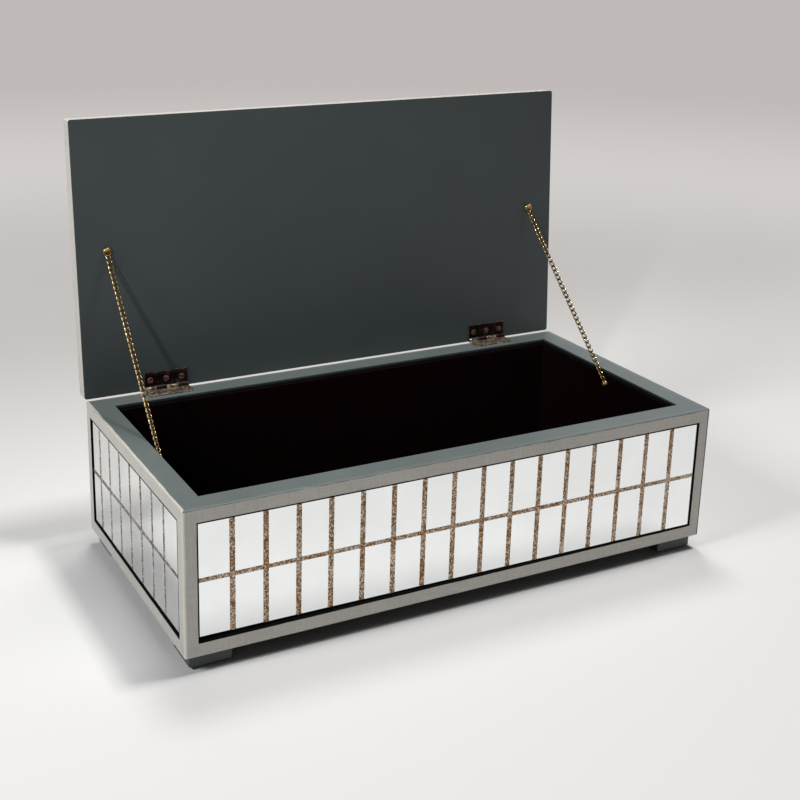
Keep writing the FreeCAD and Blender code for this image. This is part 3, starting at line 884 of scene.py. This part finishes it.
def make_base_board():
    """The bottom board: plain pressed fibre, with short darker flecks."""
    material, tree, shader, place = new_finish("pressed fibre board")
    flecks = noise(tree, stretched(tree, place, (500, 1400, 1400)), 1.0, 4.0)
    pale = between(tree, flecks, 0.35, 0.65)
    give(shader, "Base Color", blended(tree, pale, rgba(FIBRE), rgba(PALE_FIBRE)))
    give(shader, "Roughness", 0.8)
    give(shader, "Normal", bumped(tree, flecks, 0.3, 0.10 * MM))
    return material


def make_metal(name, dark, light, low, high, patch, rough, shine=1.0):
    """An aged metal: a dark skin with lighter patches, whose gloss goes up and down with them."""
    material, tree, shader, place = new_finish(name)
    field = noise(tree, place, patch, 4.0, 0.65)
    colour = blended(tree, between(tree, field, low, high), rgba(dark), rgba(light))
    give(shader, "Base Color", colour)
    give(shader, "Metallic", shine)
    give(shader, "Roughness", between(tree, field, low, high, rough[0], rough[1]))
    give(shader, "Normal", bumped(tree, noise(tree, place, patch * 2.5, 3.0), 0.15, 0.05 * MM))
    return material


def make_curb_brass():
    """The chain's brass: bright where it is rubbed, dark with patina where a link faces inward, and painted
    dark as shade where the next link lies over it.
    """
    material = make_metal("curb brass", (0.42, 0.28, 0.105), (0.93, 0.76, 0.42), 0.32, 0.58, 520.0,
                          (0.30, 0.15))
    tree = material.node_tree
    shader = tree.nodes["Principled BSDF"]
    link_darkening = add_node(tree, "ShaderNodeAttribute", attribute_name="patina_and_shade").outputs["Fac"]
    worn = shader.inputs["Base Color"].links[0].from_socket
    colour = blended(tree, between(tree, link_darkening, 0.45, 0.85), worn, rgba(PATINA_SHADE_BRASS))
    give(shader, "Base Color", colour)
    return material


MATERIALS = {
    "painted_board": make_wall_board(),
    "lid_inside": make_lid_board("lid board", False),
    "lid_linen": make_lid_board("lid linen", True),
    "front_linen": make_frame_linen("front", NO_BORDER),
    "left_linen": make_frame_linen("left", LEFT_BORDER),
    "right_linen": make_frame_linen("right", NO_BORDER),
    "back_linen": make_frame_linen("back", BACK_BORDER),
    "mirror": make_mirror("silvered mirror", (0.935, 0.958, 0.956), 0.09),
    # darker, more clouded copy for the left side: painted reflection of the shaded floor
    "left_mirror": make_mirror("mirror darkened as reflected shade", (0.76, 0.775, 0.765), 0.24),
    "glitter": make_glitter("glitter", (1.0, 1.0, 1.0)),
    # darker, cooler copy for the left side: painted shade
    "left_glitter": make_glitter("glitter darkened as shade", (0.50, 0.62, 0.80)),
    "lining": make_lining(),
    "base_board": make_base_board(),
    "foot_paint": make_foot_paint(),
    "box_bronze": make_metal("aged bronze", (0.045, 0.032, 0.024), (0.46, 0.36, 0.26), 0.45, 0.64, 520.0,
                             (0.46, 0.28), 0.55),
    # the lid leaf: a darker copy of the hinge bronze, painted as the shade on the lid's inside
    "lid_bronze": make_metal("bronze shaded for the lid", (0.012, 0.008, 0.008), (0.085, 0.052, 0.040), 0.50, 0.75,
                             300.0, (0.50, 0.35)),
    "bare_bronze": make_metal("bronze bare and highlit", (0.34, 0.27, 0.20), (0.86, 0.77, 0.66), 0.35, 0.60, 500.0,
                              (0.40, 0.24), 0.60),
    # the lid's screws: a darker copy of the screw brass, painted as the shade on the lid's inside
    "dark_screw": make_metal("brass shaded for the lid", (0.040, 0.015, 0.008), (0.40, 0.19, 0.09), 0.42, 0.62, 800.0,
                             (0.50, 0.32), 0.75),
    "screw_brass": make_metal("screw brass", (0.11, 0.048, 0.018), (0.70, 0.43, 0.16), 0.42, 0.62, 700.0,
                              (0.45, 0.28), 0.65),
    "chain_brass": make_metal("ring brass", (0.12, 0.062, 0.022), (0.62, 0.43, 0.18), 0.40, 0.64, 520.0,
                              (0.32, 0.16)),
    "curb_brass": make_curb_brass(),
}

def finish_for(node):
    """Which material a node of the frame takes."""
    side = node.split("_")[0]
    if node == "lid_frame":
        return MATERIALS["lid_linen"]
    if node.endswith("_frame"):
        return MATERIALS[f"{side}_linen"]
    if node == "lid_panel":
        return MATERIALS["lid_inside"]
    # leaves and screws on the lid take the darker copies painted as shade
    if SLOT_OF[node] == "aged_bronze":
        return MATERIALS["lid_bronze" if "lid_leaf" in node else "box_bronze"]
    if node.endswith("lid_screws"):
        return MATERIALS["dark_screw"]
    return MATERIALS[SLOT_OF[node]]


for node_name, node_object in NODES.items():
    node_object.data.materials.clear()
    node_object.data.materials.append(finish_for(node_name))

for side_name, side_facts in SIDES.items():
    lay_mosaic(side_name, **side_facts)

for side_name in ("left", "right"):
    hang_chain(side_name)
    for end_name in ("front", "back"):
        carve_foot(f"{end_name}_{side_name}_foot")
    for leaf in ("box", "lid"):
        ease_leaf(f"{side_name}_hinge_{leaf}_leaf", f"{side_name}_{leaf}_leaf_rubbed",
                  MATERIALS[f"{leaf}_bronze"], MATERIALS["bare_bronze"], LEAF_EDGE_RUB_AND_HIGHLIGHT)


# ---------------------------------------------------------------- stage, light and camera

FLOOR_REACH = 14.0
FLOOR_NEAR = (0.83, 0.82, 0.815)
# painted shade: the floor greyer behind the box
FLOOR_BACK = (0.58, 0.56, 0.55)
# far off, the floor glows at these tones for the eye and reflections: painted light falling off with distance
MIDDLE_TONE = (0.66, 0.63, 0.62)
FAR_TONE = (0.52, 0.49, 0.48)
FLOOR_SQUARES = 8                   # along each side of the floor
LIGHT_AIM = (0.0, 0.0, 0.05)
BEAM_FADE = 0.6                     # share of the beam that its soft edge takes
BEAM_SIZE = 0.04
SKY = (0.93, 0.96, 1.0)
SKY_SCATTERED = 0.05                # the surroundings, as light that scatters
SKY_SEEN = 0.53                     # and as what is seen and reflected
CAMERA_PLACE = (-0.33555, -0.59742, 0.34550)
CAMERA_TURN = (73.2931, -0.6023, -25.9278)
CAMERA_SHIFT = (0.1, -0.125)
CAMERA_LENS = 59.66                 # on film 36 wide


def seen_directly(tree):
    """1 for the eye, for reflections and for light through glass, 0 for light that scatters."""
    paths = tree.nodes.new("ShaderNodeLightPath").outputs
    either = maths(tree, "MAXIMUM", paths["Is Camera Ray"], paths["Is Glossy Ray"])
    return maths(tree, "MAXIMUM", either, paths["Is Transmission Ray"])


def make_floor():
    """A wide level floor, a plain grid of a few squares, painted a little greyer behind the box as shade. Far
    off it is black to light and glows instead, for the eye and reflections only, as painted light.
    """
    line = FLOOR_SQUARES + 1
    steps = np.linspace(-FLOOR_REACH, FLOOR_REACH, line)
    x, y = np.meshgrid(steps, steps, indexing="ij")
    points = np.stack([x, y, np.zeros_like(x)], -1).reshape(-1, 3)
    index = np.arange(FLOOR_SQUARES)
    i, j = [grid.ravel() for grid in np.meshgrid(index, index, indexing="ij")]
    first = i * line + j
    quads = np.stack([first, first + line, first + line + 1, first + 1], -1)
    mesh = bpy.data.meshes.new("floor")
    mesh.from_pydata(points.tolist(), [], quads.tolist())
    floor = bpy.data.objects.new("floor", mesh)
    bpy.context.scene.collection.objects.link(floor)
    material, tree, shader, place = new_finish("pale floor")
    behind = parts_of(tree, place)["Y"]
    distance = add_node(tree, "ShaderNodeVectorMath", {0: place}, operation="LENGTH").outputs["Value"]
    far = between(tree, distance, 0.4, 1.2)
    colour = blended(tree, between(tree, behind, 0.0, 0.45), rgba(FLOOR_NEAR), rgba(FLOOR_BACK))
    # far off, black to light, and glowing instead: painted light
    give(shader, "Base Color", blended(tree, far, colour, rgba(BLACK)))
    give(shader, "Roughness", 0.75)
    give(shader, "Specular IOR Level", 0.0)
    tone = blended(tree, between(tree, distance, 0.9, 2.1), rgba(MIDDLE_TONE), rgba(FAR_TONE))
    give(shader, "Emission Color", tone)
    give(shader, "Emission Strength", maths(tree, "MULTIPLY", far, seen_directly(tree)))
    mesh.materials.append(material)


def aim_light(name, light, place, aim):
    """Puts a light at a place, turned to face another."""
    holder = bpy.data.objects.new(name, light)
    bpy.context.scene.collection.objects.link(holder)
    holder.location = place
    holder.rotation_euler = (Vector(aim) - Vector(place)).to_track_quat("-Z", "Y").to_euler()


def add_lamp(name, place, aim, size, power, colour):
    """A square soft light from one place to another."""
    lamp = bpy.data.lights.new(name, "AREA")
    lamp.shape = "SQUARE"
    lamp.size = size
    lamp.energy = power
    lamp.color = colour
    aim_light(name, lamp, place, aim)


def add_beam(name, place, aim, angle, power):
    """A narrow beam with soft edges from one place to another."""
    lamp = bpy.data.lights.new(name, "SPOT")
    lamp.energy = power
    lamp.spot_size = angle
    lamp.spot_blend = BEAM_FADE
    lamp.shadow_soft_size = BEAM_SIZE
    aim_light(name, lamp, place, aim)


def make_light():
    """Soft lights high at the right and high behind, a low one at the left, and a beam inside the lid."""
    add_lamp("high right", (0.56, -0.12, 2.1), LIGHT_AIM, 0.28, 20.5, (1.0, 0.985, 0.965))
    add_lamp("high behind", (0.34, 0.82, 2.1), LIGHT_AIM, 0.60, 16.5, (1.0, 0.99, 0.975))
    add_lamp("left", (-1.20, -0.15, 0.95), (-0.15, 0.0, 0.05), 0.40, 10.0, (0.97, 0.99, 1.0))
    add_beam("on the lid", (-1.00, -0.95, 0.72), (0.0, 0.09, 0.17), math.radians(13), 36.0)
    world = bpy.data.worlds.new("studio")
    bpy.context.scene.world = world
    world.use_nodes = True
    tree = world.node_tree
    background = tree.nodes["Background"]
    background.inputs["Color"].default_value = rgba(SKY)
    strength = add_node(tree, "ShaderNodeMapRange",
                        {0: seen_directly(tree), 3: SKY_SCATTERED, 4: SKY_SEEN})
    put(tree, background.inputs["Strength"], strength.outputs[0])


def make_camera():
    """The camera: long lens, a little above the box and to its left, with the frame's shift."""
    camera = bpy.data.cameras.new("camera")
    camera.sensor_width = 36.0
    camera.lens = CAMERA_LENS
    camera.shift_x, camera.shift_y = CAMERA_SHIFT
    camera.clip_start = 0.01
    camera.clip_end = 60.0
    holder = bpy.data.objects.new("camera", camera)
    bpy.context.scene.collection.objects.link(holder)
    holder.location = CAMERA_PLACE
    holder.rotation_euler = [math.radians(angle) for angle in CAMERA_TURN]
    bpy.context.scene.camera = holder


make_floor()
make_light()
make_camera()
bpy.context.scene.view_settings.view_transform = "Standard"
